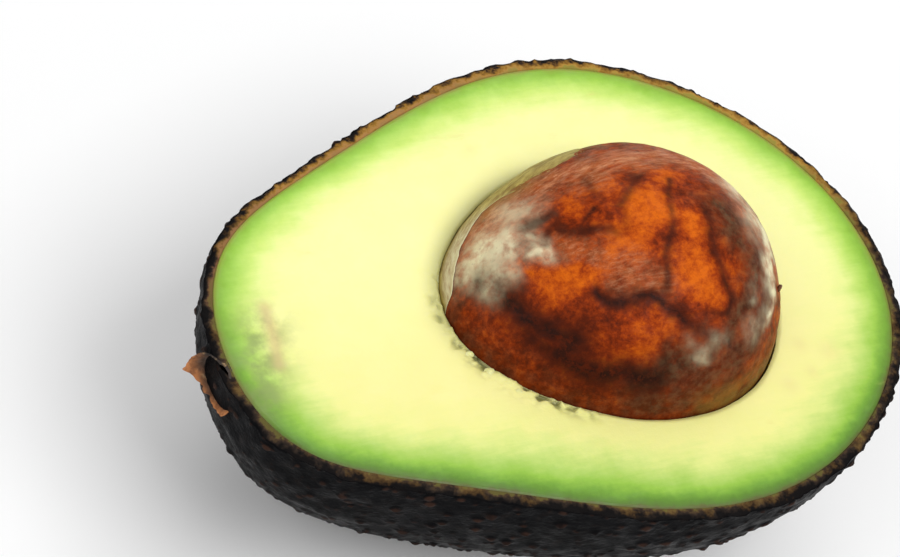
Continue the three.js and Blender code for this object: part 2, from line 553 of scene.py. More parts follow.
def skin_material(colours):
    """Near-black skin with reddish pebble tips, and on the cut rim its layers from olive to black."""
    material, tree, shader, place = start_material("avocado_skin")
    pebble = read(tree, "pebble")
    section = read(tree, "section")
    across = read(tree, "across")
    tan = read(tree, "tan")

    ground = mix(tree, mottle(tree, place, 7 * MM, 0.35, 0.7), opaque(colours.skin_dark), rgb(12, 12, 13))
    ground = mix(tree, mottle(tree, place, 1.6 * MM, 0.5, 0.75), ground, rgb(26, 22, 21))
    tips = times(tree, spread(tree, pebble, 0.12, 0.5), mottle(tree, place, 3 * MM, 0.25, 0.6))
    outside = mix(tree, times(tree, tips, 0.8), ground, opaque(colours.pebble_brown))

    uneven = centred(tree, mottle(tree, place, 2.6 * MM, 0.25, 0.75))
    finer = centred(tree, mottle(tree, place, 0.7 * MM, 0.25, 0.75))
    shifted = plus(tree, across, times(tree, uneven, 0.8))
    shifted = plus(tree, shifted, times(tree, finer, 0.5))
    layers = ramp(tree, shifted, (
        (0.0, rgb(150, 138, 62)),
        (0.2, opaque(colours.section_tan)),
        (0.5, rgb(150, 110, 46)),
        (0.74, rgb(92, 66, 38)),
        (0.88, rgb(44, 34, 27)),
        (1.0, rgb(22, 20, 20)),
    ))
    dull = ramp(tree, shifted, (
        (0.0, rgb(96, 88, 48)),
        (0.15, rgb(78, 62, 44)),
        (0.4, rgb(50, 41, 35)),
        (0.8, rgb(22, 20, 20)),
    ))
    patchy = centred(tree, mottle(tree, place, 4 * MM, 0.4, 0.6))
    patchy = times(tree, patchy, 0.35)
    cut = mix(tree, math_node(tree, "ADD", tan, patchy, clamp=True), dull, layers)
    blush = times(tree, read(tree, "blush"), spread(tree, shifted, 0.55, 0.1, 0.0, 0.6))
    cut = mix(tree, blush, cut, rgb(162, 110, 80))
    tree.links.new(mix(tree, section, outside, cut), shader.inputs["Base Color"])

    rough = spread(tree, mottle(tree, place, 2.5 * MM, 0.3, 0.7), 0.0, 1.0, 0.32, 0.55)
    tree.links.new(rough, shader.inputs["Roughness"])
    shader.inputs["Specular IOR Level"].default_value = 0.018
    fine = plus(tree, grain(tree, place, 0.55 * MM), times(tree, grain(tree, place, 1.7 * MM), 1.5))
    relief(tree, shader, fine, 0.5, 0.25 * MM)
    return material


def flesh_material(colours):
    """Moist flesh, green under the skin and pale yellow further in, with streaks, bruises and stains,
    painted shade on one side, and olive painted shade in the hollow and its torn pits.
    """
    material, tree, shader, place = start_material("avocado_flesh")
    from_skin = read(tree, "from_skin")
    shade_side = read(tree, "shade_side")
    bruise = read(tree, "bruise")
    rim = read(tree, "rim")

    waver = centred(tree, mottle(tree, place, 6 * MM, 0.2, 0.8))
    finer = centred(tree, mottle(tree, place, 1.2 * MM, 0.2, 0.8))
    lines = stretch(tree, place, (0.22, 1.3, 1.0))
    drawn = centred(tree, mottle(tree, lines, 2.4 * MM, 0.25, 0.75, 0.65))
    sway = times(tree, plus(tree, waver, drawn), times(tree, from_skin, 0.22))
    depth = plus(tree, from_skin, times(tree, waver, 0.5))
    depth = plus(tree, depth, sway)
    depth = plus(tree, depth, times(tree, finer, 0.35))
    depth = math_node(tree, "DIVIDE", depth, 14.0, clamp=True)
    bright = ramp(tree, depth, (
        (0.0, rgb(158, 160, 76)),
        (0.025, rgb(142, 172, 52)),
        (0.06, opaque(colours.flesh_green)),
        (0.11, rgb(156, 203, 66)),
        (0.18, rgb(180, 219, 90)),
        (0.29, rgb(209, 235, 118)),
        (0.43, rgb(236, 246, 152)),
        (0.6, rgb(248, 250, 167)),
        (1.0, opaque(colours.flesh_pale)),
    ))
    # painted shade: a darker copy of the flesh ramp, blended in by shade_side
    deep = ramp(tree, depth, (
        (0.0, rgb(96, 98, 46)),
        (0.025, rgb(90, 122, 44)),
        (0.06, rgb(94, 138, 36)),
        (0.11, rgb(114, 163, 46)),
        (0.18, rgb(148, 194, 64)),
        (0.29, rgb(184, 213, 104)),
        (0.43, rgb(219, 230, 134)),
        (0.6, rgb(238, 237, 148)),
        (1.0, rgb(244, 238, 156)),
    ))
    ground = mix(tree, shade_side, bright, deep)
    specks = mottle(tree, stretch(tree, place, (0.6, 1.5, 1.0)), 5 * MM, 0.66, 0.78)
    ground = mix(tree, times(tree, specks, 0.3), ground, rgb(222, 206, 120))
    spoiled = times(tree, bruise, mottle(tree, place, 3.2 * MM, 0.3, 0.62))
    ground = mix(tree, times(tree, spoiled, 0.75), ground, rgb(134, 150, 84))
    streak = times(tree, read(tree, "streak"), 0.6)
    ground = mix(tree, streak, ground, rgb(214, 186, 134))
    # painted shade: the hollow's wall, its lip and the pits of the torn edge turned dark olive
    ground = mix(tree, times(tree, rim, 0.85), ground, rgb(92, 92, 42))
    tree.links.new(ground, shader.inputs["Base Color"])

    wet = spread(tree, mottle(tree, place, 4 * MM, 0.3, 0.7), 0.0, 1.0, 0.34, 0.52)
    tree.links.new(wet, shader.inputs["Roughness"])
    shader.inputs["Specular IOR Level"].default_value = 0.35
    shader.inputs["Subsurface Weight"].default_value = 0.25
    shader.inputs["Subsurface Radius"].default_value = (1.0, 0.9, 0.35)
    shader.inputs["Subsurface Scale"].default_value = 1.2 * MM
    strokes = stretch(tree, place, (0.35, 1.4, 1.0))
    fine = plus(tree, grain(tree, place, 0.7 * MM), mottle(tree, strokes, 3 * MM, 0.2, 0.8))
    relief(tree, shader, fine, 0.16, 0.2 * MM)
    return material


def seed_material(colours):
    """Rust and orange seed under grey-brown painted shade, torn films, olive stain, dark veins and papery
    flakes.
    """
    material, tree, shader, place = start_material("avocado_seed")
    vein, shade, film, paper, warm, olive = (
        read(tree, name) for name in ("vein", "shade", "film", "paper", "warm", "olive")
    )
    broad = centred(tree, mottle(tree, place, 3 * MM, 0.28, 0.72, 0.65, 0.3))
    small = centred(tree, mottle(tree, place, 0.9 * MM, 0.32, 0.68, 0.7))
    warmth = plus(tree, warm, times(tree, broad, 0.42))
    warmth = plus(tree, warmth, times(tree, small, 0.34))
    ground = ramp(tree, warmth, (
        (0.0, rgb(64, 18, 0)),
        (0.3, rgb(110, 34, 0)),
        (0.52, opaque(colours.seed_rust)),
        (0.74, rgb(186, 78, 4)),
        (1.0, opaque(colours.seed_orange)),
    ))
    # painted shade: the shade strokes and the band just above the cut turn the ground a dark grey-brown
    worn = times(tree, shade, spread(tree, small, -0.5, 0.3, 0.55, 1.0))
    shade_brown = mix(tree, mottle(tree, place, 1.2 * MM, 0.35, 0.65), rgb(66, 34, 14), rgb(98, 70, 46))
    ground = mix(tree, worn, ground, shade_brown)
    torn = times(tree, film, mottle(tree, place, 1.3 * MM, 0.22, 0.6, 0.75))
    ground = mix(tree, times(tree, torn, 0.82), ground, rgb(186, 104, 56))
    thready = mottle(tree, stretch(tree, place, (0.35, 1.8, 1.8)), 1.1 * MM, 0.42, 0.7, 0.7)
    threads = times(tree, thready, times(tree, film, 0.65))
    ground = mix(tree, threads, ground, rgb(228, 166, 122))
    stain = times(tree, olive, mottle(tree, place, 2.4 * MM, 0.2, 0.6, 0.65))
    ground = mix(tree, times(tree, stain, 0.7), ground, rgb(130, 104, 44))
    line = times(tree, vein, spread(tree, small, -0.5, 0.2, 0.7, 1.0))
    ground = mix(tree, line, ground, opaque(colours.seed_vein))
    shreds = mottle(tree, stretch(tree, place, (1.7, 0.8, 0.8)), 2.6 * MM, 0.12, 0.52, 0.6)
    flaky = times(tree, paper, shreds)
    flake = mix(tree, mottle(tree, place, 2 * MM, 0.42, 0.7), rgb(240, 231, 190), rgb(206, 164, 130))
    ground = mix(tree, times(tree, flaky, 0.95), ground, flake)
    freckle = mottle(tree, place, 0.42 * MM, 0.52, 0.8, 0.7)
    ground = mix(tree, times(tree, freckle, 0.38), ground, rgb(84, 30, 10))
    tree.links.new(ground, shader.inputs["Base Color"])

    rough = spread(tree, mottle(tree, place, 2 * MM, 0.3, 0.7), 0.0, 1.0, 0.42, 0.62)
    tree.links.new(rough, shader.inputs["Roughness"])
    shader.inputs["Specular IOR Level"].default_value = 0.09
    wrinkles = grain(tree, stretch(tree, place, (0.4, 1.6, 1.6)), 0.55 * MM)
    fine = plus(tree, wrinkles, times(tree, flaky, 0.5))
    relief(tree, shader, fine, 0.4, 0.18 * MM)
    return material


def coat_material(colours):
    """Streaky olive paper, milky on its near part above the cut, and pale along its torn edge, partly its
    own colour and partly a painted highlight on the fold there.
    """
    material, tree, shader, place = start_material("avocado_seed_coat")
    streaky = mottle(tree, stretch(tree, place, (0.7, 0.7, 2.6)), 1.5 * MM, 0.3, 0.7, 0.65)
    ground = mix(tree, streaky, opaque(colours.coat_olive), rgb(136, 108, 44))
    milky = mix(tree, streaky, rgb(226, 216, 178), rgb(180, 150, 112))
    ground = mix(tree, read(tree, "pale"), ground, milky)
    # pale torn edge: partly the film's own colour, partly a painted highlight along its fold
    ground = mix(tree, times(tree, read(tree, "edge"), 0.8), ground, rgb(224, 216, 170))
    tree.links.new(ground, shader.inputs["Base Color"])
    rough = spread(tree, streaky, 0.0, 1.0, 0.45, 0.65)
    tree.links.new(rough, shader.inputs["Roughness"])
    relief(tree, shader, grain(tree, stretch(tree, place, (0.8, 0.8, 3.0)), 0.5 * MM), 0.4, 0.12 * MM)
    return material


def stem_material(colours):
    """Dark dry bark with lighter flecks, orange-brown where it is torn."""
    material, tree, shader, place = start_material("avocado_stem")
    torn = read(tree, "torn")
    dark = mix(tree, mottle(tree, place, 1.4 * MM, 0.35, 0.65), opaque(colours.bark), rgb(30, 23, 19))
    dark = mix(tree, mottle(tree, place, 1.1 * MM, 0.54, 0.7), dark, rgb(150, 122, 86))
    edge = mix(tree, mottle(tree, place, 0.9 * MM, 0.4, 0.75), opaque(colours.bark_edge), rgb(120, 72, 38))
    tree.links.new(mix(tree, torn, dark, edge), shader.inputs["Base Color"])
    rough = spread(tree, mottle(tree, place, 1 * MM, 0.3, 0.7), 0.0, 1.0, 0.6, 0.85)
    tree.links.new(rough, shader.inputs["Roughness"])
    relief(tree, shader, grain(tree, place, 0.45 * MM), 0.7, 0.25 * MM)
    return material


def floor_material():
    """Matt near-white."""
    material, tree, shader, place = start_material("pale_floor")
    tone = mix(tree, mottle(tree, place, 0.3, 0.3, 0.7), (0.98, 0.98, 0.98, 1), (0.96, 0.96, 0.96, 1))
    tree.links.new(tone, shader.inputs["Base Color"])
    shader.inputs["Roughness"].default_value = 0.9
    shader.inputs["Specular IOR Level"].default_value = 0.1
    return material


# ---------------------------------------------------------------- skin


def skin_relief(sizes, points):
    """Height of the skin at each point, and its pebbles from 0 to 1: large and small pebbles over low
    waves, with long folds towards the stem."""
    drawn_out = points * np.array([0.8, 1.0, 1.0])
    bend = 0.4 * MM * fractal(points, 3 * MM, 2, 40)
    large = pebble_field(drawn_out + bend[..., None], sizes.pebble_spacing, 3)
    small = pebble_field(drawn_out, sizes.pebble_spacing * 0.7, 11)
    waves = fractal(points, 8 * MM, 3, 21)
    near_stem = ease(-22 * MM, -40 * MM, points[..., 0] - FRUIT_CENTRE[0])
    folds = fractal(points * np.array([0.45, 1.2, 1.2]), 5 * MM, 2, 23) * near_stem
    height = sizes.pebble_height * np.maximum(large, 0.5 * small) * (1 - 0.3 * near_stem)
    height = height + 0.16 * MM * waves + 0.3 * MM * folds
    return height, np.maximum(large, 0.6 * small)


def make_skin(sizes, colours):
    """The shell: rings run from the bottom of its inside up to the cut rim, across the rim's section and
    down the pebbled outside to the bottom, where it is pressed flat."""
    columns, inner_rows, rim_rows, outer_rows = 700, 6, 9, 118
    turns = even_turns(columns)

    up = np.linspace(0.08, 1.0, inner_rows) * math.pi / 2
    inside_way = downward(up, turns)
    inside = fruit_points(sizes, inside_way, GROWN_TOGETHER)

    level = downward(np.array([math.pi / 2]), turns)[0]
    share_across = np.linspace(0, 1, rim_rows + 1)[1:]
    far_round_side = ease(0.3, 0.95, np.cos(turns - math.radians(42)))
    thick = sizes.skin_thickness + 0.4 * MM * far_round_side
    fade_out = ease(0.35, 1.0, share_across)[:, None]
    section = fruit_points(sizes, np.broadcast_to(level, (rim_rows, columns, 3)),
                           thick[None, :] * share_across[:, None] + GROWN_TOGETHER)
    edge_height, edge_pebble = skin_relief(sizes, section)
    scallop = 0.26 * MM * fractal(fruit_points(sizes, level, sizes.skin_thickness), 1.9 * MM, 3, 50)
    edge_height = edge_height + scallop
    section = section + fruit_normals(sizes, level) * (edge_height * fade_out)[..., None]
    ragged = fractal(section, 2.4 * MM, 3, 60)
    worn = ease(0.6, 1.0, share_across)[:, None]
    section[..., 2] += 0.14 * MM * ragged - worn * 0.32 * MM * (1 + 0.6 * ragged)

    down = math.pi / 2 * (1 - np.linspace(0, 1, outer_rows + 2)[1:-1] ** 1.12)
    outside_way = downward(down, turns)
    outside = fruit_points(sizes, outside_way, sizes.skin_thickness + GROWN_TOGETHER)
    near_cut = np.exp(-(CUT_HEIGHT - outside[..., 2]) / (5 * MM))
    height, pebble = skin_relief(sizes, outside)
    height = height + scallop * near_cut**4 + (thick - sizes.skin_thickness) * near_cut
    outside = outside + fruit_normals(sizes, outside_way) * height[..., None]
    outside[..., 2] = np.maximum(outside[..., 2], 0.02 * MM * (1 + fractal(outside, 1.5 * MM, 2, 70)))

    rings = np.concatenate([inside, section, outside])
    bottom_inside = fruit_points(sizes, np.array([0.0, 0.0, -1.0]), GROWN_TOGETHER)
    bottom_outside = np.array([bottom_inside[0], bottom_inside[1], 0.02 * MM])

    islands = [
        strip_map(inner_rows, columns, 0.985, 0.94),
        strip_map(rim_rows + 1, columns, 0.93, 0.85),
        strip_map(outer_rows + 1, columns, 0.84, 0.01),
    ]
    maps = (islands, fan_places(columns, 0.995), fan_places(columns, 0.0))
    piece = ring_mesh("skin_shell", rings, bottom_inside, bottom_outside, maps)

    blank = np.zeros((inner_rows, columns))
    on_section = np.broadcast_to((1 - ease(0.86, 1.0, share_across))[:, None], (rim_rows, columns))
    mark(piece, "pebble", np.concatenate([blank, edge_pebble * fade_out, pebble]), 0, 0)
    mark(piece, "section", np.concatenate([blank + 1, on_section, np.zeros_like(pebble)]), 1, 0)
    spanned = np.broadcast_to(share_across[:, None], (rim_rows, columns))
    mark(piece, "across", np.concatenate([blank, spanned, np.ones_like(pebble)]), 0, 1)
    far_side = ease(0.5, 0.85, 0.5 + 0.5 * np.cos(turns - math.radians(75)))
    mark(piece, "tan", np.broadcast_to(far_side, rings.shape[:2]), 0, 0)
    far_stem_side = ease(0.6, 0.95, np.cos(turns - math.radians(122)))
    mark(piece, "blush", np.broadcast_to(far_stem_side, rings.shape[:2]), 0, 0)
    piece.data.materials.append(skin_material(colours))
    settle(piece, "skin")


# ---------------------------------------------------------------- flesh


def hollow_rim_way(sizes, turns):
    """Directions at which the hollow's egg meets the cut face: its rise is the seed's sinking divided by
    the radius there, settled by a few repeats because the radius depends on the direction."""
    _, radius = seed_radii(sizes)
    sunk = CUT_HEIGHT - SEED_CENTRE[2]
    rise = np.full(turns.shape, sunk / radius)
    for _ in range(4):
        forward = np.sqrt(1 - rise**2) * np.cos(turns)
        rise = sunk / (radius * (1 + sizes.seed_egg * forward) + sizes.hollow_gap)
    return np.arccos(-rise)


def make_flesh(sizes, colours):
    """The flesh: rings run from the bottom of the hollow up its wall, over the rounded rim, out across the
    cut face along straight rays, over the outer edge and down the back to the bottom. Noise pits the rim
    where the seed tore it, and raises curds between the pits."""
    columns, wall_rows, face_rows, back_rows = 560, 26, 104, 18
    turns = even_turns(columns)

    rim_angle = hollow_rim_way(sizes, turns)
    wall_way = leaning(np.linspace(0.06, 1.0, wall_rows)[:, None] * rim_angle[None, :], turns)
    wall = seed_shape(sizes, wall_way)[0] + wall_way * sizes.hollow_gap

    torn_side = ease(0.6, 0.9, np.cos(turns - math.radians(203)))
    edge_way = downward(np.array([math.pi / 2]), turns)[0]
    edge = fruit_points(sizes, edge_way, 0.0)
    lip = egg_points(sizes, wall_way[-1], sizes.hollow_gap)
    lip[:, 2] = CUT_HEIGHT
    reach = np.linalg.norm(edge - lip, axis=-1)
    outward = (edge - lip) / reach[:, None]
    even = np.linspace(0, 1, face_rows + 1)[1:]
    spaced = 0.5 * even + 0.5 * ease(0, 1, even)
    face = lip + (edge - lip) * spaced[:, None, None]
    from_hollow = spaced[:, None] * reach

    to_wall = (wall[-1] - lip) * np.array([1, 1, 0])
    face = face + to_wall * bell(from_hollow, 0.8 * MM)[..., None]
    rounding = sizes.rim_rounding * (0.9 + 0.2 * fractal(lip, 5 * MM, 2, 80))
    dip = 0.42 * rounding
    face[..., 2] -= (1 - ease(0, 1, from_hollow / rounding)) ** 1.6 * dip
    by_the_seed = torn_side * bell(from_hollow, 1.5 * MM)
    worst = bell(turns - math.radians(210), math.radians(8))
    pits = by_the_seed * np.clip(0.15 + 0.75 * worst + 1.9 * fractal(face, 1.5 * MM, 3, 85), 0, 1)
    curds = by_the_seed * np.clip(fractal(face, 1.1 * MM, 3, 88) + 0.15, 0, 1) * (1 - pits)
    face[..., 2] += (0.5 * curds - 0.7 * pits) * MM * ease(0, 0.25 * MM, from_hollow)
    waves = 0.05 * MM * fractal(face * np.array([0.35, 1.2, 1.0]), 5 * MM, 3, 90)
    calm = ease(0, 2 * MM, from_hollow) * ease(0, 1.5 * MM, from_hollow[-1] - from_hollow)
    face[..., 2] += waves * calm
    face[..., 2] -= (1 - ease(0, 0.5 * MM, from_hollow[-1] - from_hollow)) * 0.12 * MM

    near_rim = ease(-3 * MM, 0, wall[..., 2] - CUT_HEIGHT)
    wall = wall + outward * (near_rim**2 * 0.25 * dip)[..., None]
    wall[..., 2] -= near_rim * dip

    down = np.linspace(1, 0.05, back_rows + 1)[1:] * math.pi / 2
    back = fruit_points(sizes, downward(down, turns), 0.0)
    rings = np.concatenate([wall, face, back])
    hollow_floor = egg_points(sizes, np.array([0.0, 0.0, -1.0]), sizes.hollow_gap)
    bottom = fruit_points(sizes, np.array([0.0, 0.0, -1.0]), 0.0)

    span = FLESH_HIGH[:2] - FLESH_LOW[:2]
    flat = (np.concatenate([wall[-1:], face])[..., :2] - FLESH_LOW[:2]) / span
    flat = np.stack([0.01 + 0.98 * flat[..., 0], 0.26 + 0.73 * flat[..., 1]], axis=-1)
    flat = np.concatenate([flat, flat[:, :1]], axis=1)
    islands = [
        strip_map(wall_rows, columns, 0.14, 0.24),
        flat,
        strip_map(back_rows + 1, columns, 0.12, 0.01),
    ]
    maps = (islands, fan_places(columns, 0.135), fan_places(columns, 0.0))
    piece = ring_mesh("flesh_half", rings, hollow_floor, bottom, maps)

    depth_in = np.concatenate([
        np.broadcast_to(reach, wall.shape[:2]), from_hollow[-1] - from_hollow, np.zeros(back.shape[:2])
    ]) / MM
    wide_green = bell(turns - math.radians(235), math.radians(32))
    depth_in = depth_in * (1 - 0.42 * wide_green)
    mark(piece, "from_skin", depth_in, 30, 0)
    # painted shade: the flesh is darker on one side of the cut face, most at a turn of 262 degrees
    shade = ease(0.3, 0.8, np.cos(turns - math.radians(262)) * 0.5 + 0.5)
    mark(piece, "shade_side", np.broadcast_to(shade, rings.shape[:2]), 0, 0)
    mark(piece, "bruise", flesh_bruise(rings), 0, 0)
    mark(piece, "streak", flesh_streak(rings), 0, 0)
    mark(piece, "rim", rim_shade(rings, turns, wall_rows, from_hollow, pits), 1, 0)
    piece.data.materials.append(flesh_material(colours))
    settle(piece, "flesh")


# Spots of the cut face: place from its middle and radius, in millimetres
FLESH_BRUISES = ((-41.3, 1.5, 3.4), (-43.2, -3.5, 3.2), (-44.0, -8.0, 2.4))
FLESH_SMEARS = (
    (29.2, -14.2, 1.2), (33.0, -15.8, 1.6), (28.9, -18.4, 1.0), (24.8, -19.7, 1.3), (-3.6, 23.3, 1.0),
)
# Strand of the stalk near the stem: places along it from the middle of the cut face, in millimetres
FLESH_STRAND = ((-39.8, 4.6), (-40.2, 0.5), (-40.9, -3.6))


def face_place(x, y):
    """A point of the cut face, given from its middle in millimetres."""
    return FRUIT_CENTRE + np.array([x, y, 0]) * MM


def face_spots(points, table):
    """Soft round spots of the cut face, added up."""
    total = 0
    for x, y, radius in table:
        total = total + spot(points, face_place(x, y), radius * MM)
    return total


def flesh_bruise(points):
    """Where the flesh is spoiled near the stem: soft spots just inside the skin."""
    return np.clip(face_spots(points, FLESH_BRUISES), 0, 1)


def flesh_streak(points):
    """A pinkish strand of the stalk, seen as a thin streak across the flesh near the stem, and faint
    smears of the same colour elsewhere."""
    away = path_distance(points, [face_place(x, y) for x, y in FLESH_STRAND])
    return np.clip(bell(away, 0.9 * MM) + 0.3 * face_spots(points, FLESH_SMEARS), 0, 1)


def rim_shade(rings, turns, wall_rows, from_hollow, pits):
    """Olive painted shade of the hollow: full on its wall and fading over the first millimetre or two of
    the cut face, widest on the stem side, and deep in the pits of the torn edge."""
    stem_side = ease(0.2, 0.9, np.cos(turns - math.radians(150)))
    width = (0.35 + 1.3 * stem_side) * MM
    strength = 0.25 + 0.5 * stem_side
    shade = np.zeros(rings.shape[:2])
    rows = len(from_hollow)
    shade[:wall_rows] = strength + 0.25
    # painted shade that fades out over the cut face from the hollow's edge
    worn = np.exp(-((from_hollow / width) ** 1.4)) * strength
    shade[wall_rows:wall_rows + rows] = np.maximum(worn, np.clip(1.3 * pits, 0, 1))
    return shade


# ---------------------------------------------------------------- seed


def seed_way(places):
    """Unit vectors for places given in degrees: the first from the stem end along the seed, the second
    about its length, from +Y (0) over the top (90) to -Y (180)."""
    along, about = np.radians(np.array(places, dtype=float)).T
    return np.stack([-np.cos(along), np.sin(along) * np.cos(about), np.sin(along) * np.sin(about)], axis=-1)


# Strokes painted on the seed: width in millimetres, strength, and a few places along each
SEED_VEINS = (
    (0.55, 0.85, ((101, 77), (93, 98), (91, 105), (87, 116), (85, 122))),
    (0.65, 0.9, ((108, 94), (105, 109), (107, 118), (108, 127), (106, 130))),
    (0.5, 0.9, ((93, 130), (100, 130), (106, 129))),
    (1.05, 1.0, ((66, 117), (69, 120), (73, 121), (78, 120), (83, 122), (88, 128), (92, 132), (97, 136))),
    (0.6, 0.6, ((97, 136), (103, 140), (110, 146))),
    (2.2, 1.0, ((31, 80), (34, 90), (37, 103), (41, 121), (49, 129), (58, 134))),
    (2.8, 1.0, ((58, 134), (53, 141), (57, 146), (64, 149), (72, 151), (80, 153))),
    (1.8, 0.85, ((41, 121), (45, 134), (51, 142))),
    (0.9, 0.9, ((53, 71), (57, 71), (60, 72))),
    (0.8, 0.85, ((55, 83), (61, 80), (65, 87), (71, 89), (76, 93))),
    (0.5, 1.0, ((71, 84), (73, 81), (74, 79))),
    (0.8, 0.6, ((78, 64), (77, 70), (77, 75))),
    (0.75, 0.75, ((81, 83), (85, 79), (89, 75), (93, 71))),
    (0.7, 0.35, ((74, 95), (80, 92), (82, 84))),
)

# Broad painted shade on the seed's round end and low flank: width, strength, places
SEED_SHADE = (
    (2.9, 1.0, ((114, 90), (119, 104), (122, 117), (117, 129), (109, 136),
                (102, 143), (91, 147), (82, 151))),
    (3.6, 0.85, ((126, 108), (129, 126), (122, 142), (108, 152), (92, 162), (78, 165))),
    (2.0, 0.25, ((22, 112), (28, 132), (40, 147), (54, 157))),
)

# Greyed film over the middle of the seed and the pinkish film along its far side: width, strength, places
SEED_FILM = (
    (1.7, 0.55, ((60, 92), (67, 96), (72, 108), (77, 114), (84, 116))),
    (1.3, 0.45, ((74, 97), (76, 104))),
    (3.1, 1.0, ((44, 50), (60, 46), (70, 52), (83, 58), (96, 58), (108, 58), (119, 64), (130, 74))),
    (1.8, 0.45, ((66, 58), (78, 66), (88, 66))),
)

# Papery flakes of the seed: radius in millimetres, strength, place
SEED_PAPER = (
    (3.6, 1.0, (39, 63)), (3.0, 0.95, (46, 69)), (2.8, 0.8, (31, 64)), (2.6, 0.75, (37, 80)),
    (1.5, 1.0, (52, 87)), (1.2, 0.6, (53, 77)), (2.4, 0.55, (55, 57)), (2.6, 1.2, (140, 104)),
    (2.0, 1.3, (137, 116)), (1.8, 1.3, (133, 127)), (1.5, 1.1, (129, 138)), (2.0, 0.6, (129, 137)),
    (1.6, 0.36, (120, 141)), (1.2, 0.3, (119, 125)), (1.6, 0.3, (101, 140)), (1.5, 0.38, (95, 145)),
    (2.4, 0.8, (131, 80)), (3.0, 0.95, (135, 95)), (3.5, 0.6, (152, 105)),
)

# Warm patches of the seed: radius in millimetres, strength, place
SEED_WARM = (
    (6.0, 1.0, (89, 86)), (4.8, 0.95, (79, 99)), (3.8, 1.0, (100, 99)), (4.8, 0.88, (97, 113)),
    (4.0, 0.78, (98, 123)), (3.8, 0.85, (98, 75)), (3.2, 0.75, (82, 70)), (4.0, 0.68, (69, 74)),
    (5.0, 0.85, (57, 107)), (3.8, 0.72, (49, 101)), (4.0, 0.75, (64, 110)), (5.4, 0.72, (76, 136)),
    (4.4, 0.76, (84, 132)), (3.2, 0.66, (66, 143)), (2.4, 0.55, (74, 161)), (2.6, 0.5, (31, 108)),
    (2.2, 0.45, (92, 152)), (3.4, 0.42, (38, 134)), (2.4, 0.6, (112, 103)), (2.6, 0.55, (111, 122)),
    (5.0, 0.5, (108, 84)), (8.0, 0.6, (110, 20)), (8.0, 0.5, (70, 10)), (8.0, 0.5, (140, 50)),
    (9.0, 0.45, (90, 190)),
)


def strokes(sizes, points, table):
    """Strength of painted strokes: each fades as a bell with the distance from its line of places, and
    the strongest wins."""
    total = np.zeros(points.shape[:-1])
    for width, strength, places in table:
        away = path_distance(points, egg_points(sizes, seed_way(places), 0.0))
        total = np.maximum(total, strength * bell(away, width * MM))
    return total


def patches(sizes, points, table):
    """Strength of painted round patches, the strongest of them at each point."""
    total = np.zeros(points.shape[:-1])
    for radius, strength, place in table:
        centre = egg_points(sizes, seed_way([place])[0], 0.0)
        total = np.maximum(total, strength * spot(points, centre, radius * MM))
    return total


def seed_marks(sizes, points):
    """The seed's painted numbers. Places are bent by noise first, so that no stroke runs straight. Shade
    is also laid just above the cut, and olive stain low on the far flank and near the round end."""
    swirl = np.stack([fractal(points, 3.2 * MM, 4, 100 + 9 * k) for k in range(3)], axis=-1)
    bent = points + 0.62 * MM * swirl
    blotchy = points + 1.5 * MM * swirl
    forward = points[..., 0] - SEED_CENTRE[0]
    aside = points[..., 1] - SEED_CENTRE[1]
    above = points[..., 2] - CUT_HEIGHT
    far_flank = ease(8 * MM, 14 * MM, aside) * ease(-6 * MM, 6 * MM, -forward)
    far_flank = far_flank * (1 - ease(7 * MM, 11 * MM, above))
    near_flank = ease(0, 7 * MM, forward) * (1 - ease(-15 * MM, -6 * MM, aside))
    near_flank = near_flank * (1 - ease(1 * MM, 5 * MM, above))
    return {
        "vein": strokes(sizes, bent, SEED_VEINS),
        # painted shade: the strokes of SEED_SHADE and a band just above the cut
        "shade": np.maximum(strokes(sizes, blotchy, SEED_SHADE), 0.5 * (1 - ease(0, 3.5 * MM, above))),
        "film": strokes(sizes, blotchy, SEED_FILM),
        "paper": patches(sizes, blotchy, SEED_PAPER),
        "warm": np.maximum(0.42, patches(sizes, blotchy, SEED_WARM)),
        "olive": np.maximum(far_flank, near_flank),
    }


def seed_shape(sizes, way):
    """The seed's own surface: the egg with a flattened crown, low swellings and fine wrinkles drawn along
    it, grooved along the veins and raised under the papery flakes. Returns its points and its marks."""
    base = egg_points(sizes, way, 0.0)
    marks = seed_marks(sizes, base)
    low = 0.2 * MM * fractal(base, 9 * MM, 2, 130)
    wrinkle = 0.05 * MM * fractal(base * np.array([0.45, 2.0, 2.0]), 2.4 * MM, 3, 140)
    crown = 0.4 * MM * np.clip(way[..., 2], 0, 1) ** 2
    carved = 0.06 * MM * marks["paper"] - 0.14 * MM * marks["vein"]
    height = low + wrinkle + carved - crown - 0.1 * MM
    return base + way * height[..., None], marks


def make_seed(sizes, colours):
    """The seed: rings run along the egg from the stem end to the round end, on the surface that
    seed_shape gives."""
    columns, rows = 380, 226
    along = np.linspace(0, math.pi, rows + 2)[1:-1]
    about = even_turns(columns)
    way = np.stack([
        -np.cos(along)[:, None] * np.ones(columns),
        np.sin(along)[:, None] * np.cos(about),
        np.sin(along)[:, None] * np.sin(about),
    ], axis=-1)
    rings, marks = seed_shape(sizes, way)
    start, end = (seed_shape(sizes, np.array([side, 0.0, 0.0]))[0] for side in (-1.0, 1.0))
    piece = ring_mesh("seed_body", rings, start, end, tube_maps(rows, columns))
    for name, values in marks.items():
        mark(piece, name, values, 0.2, 0.2)
    piece.data.materials.append(seed_material(colours))
    settle(piece, "seed")


# ---------------------------------------------------------------- seed coat


# The coat's torn edge: turn about the seed in degrees, height above the cut face in millimetres
COAT_EDGE = (
    (66, 0.3), (76, 5.4), (88, 10.8), (98, 12.6), (106, 12.0), (116, 9.8), (126, 6.6), (134, 4.2),
    (152, 3.5), (166, 3.8), (173, 3.7), (178, 0.8),
)


